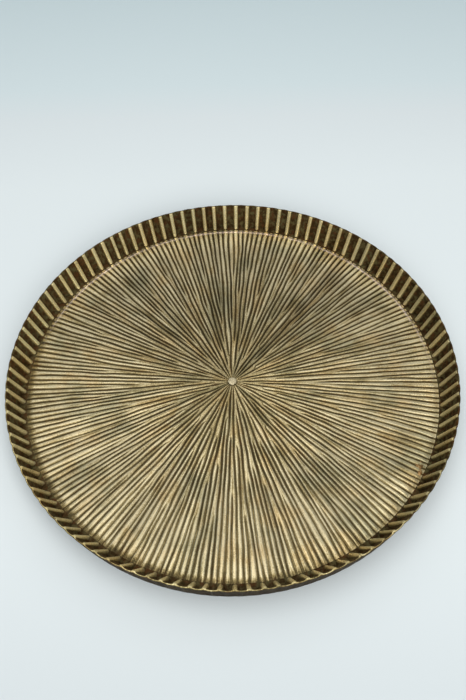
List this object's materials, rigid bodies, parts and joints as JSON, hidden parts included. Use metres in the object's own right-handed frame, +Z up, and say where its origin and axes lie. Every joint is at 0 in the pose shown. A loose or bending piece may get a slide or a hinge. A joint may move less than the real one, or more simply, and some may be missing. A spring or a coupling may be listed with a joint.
{
  "type": "round serving tray",
  "caption": "Round brass tray with a floor of branching radial ribs, a low flared wall of vertical flutes, a small middle stud and thin pads underneath.",
  "frame": {"origin": "on the tray's axis, at the underside of the foot pads, where the tray meets the table", "axes": "+Z up along the tray's axis, the shortest extent; X and Y lie in the floor's plane"},
  "size_m": [0.3999, 0.4, 0.027],
  "materials": {
    "ribbed_floor_brass": "antique brass, ribs rubbed bright over dark brown hollows",
    "fluted_wall_brass": "antique brass, crests and rim edge rubbed bright over dark brown channels",
    "braze": "aged braze, slightly redder than the tray",
    "stud_brass": "worn pale brass",
    "pad_rubber": "matt dark brown"
  },
  "bodies": {
    "root": {"floor_plate": "ribbed_floor_brass", "fluted_wall": "fluted_wall_brass", "braze_seam": "braze", "centre_stud": "stud_brass", "foot_pad_1": "pad_rubber", "foot_pad_2": "pad_rubber", "foot_pad_3": "pad_rubber", "foot_pad_4": "pad_rubber"}
  },
  "joints": []
}
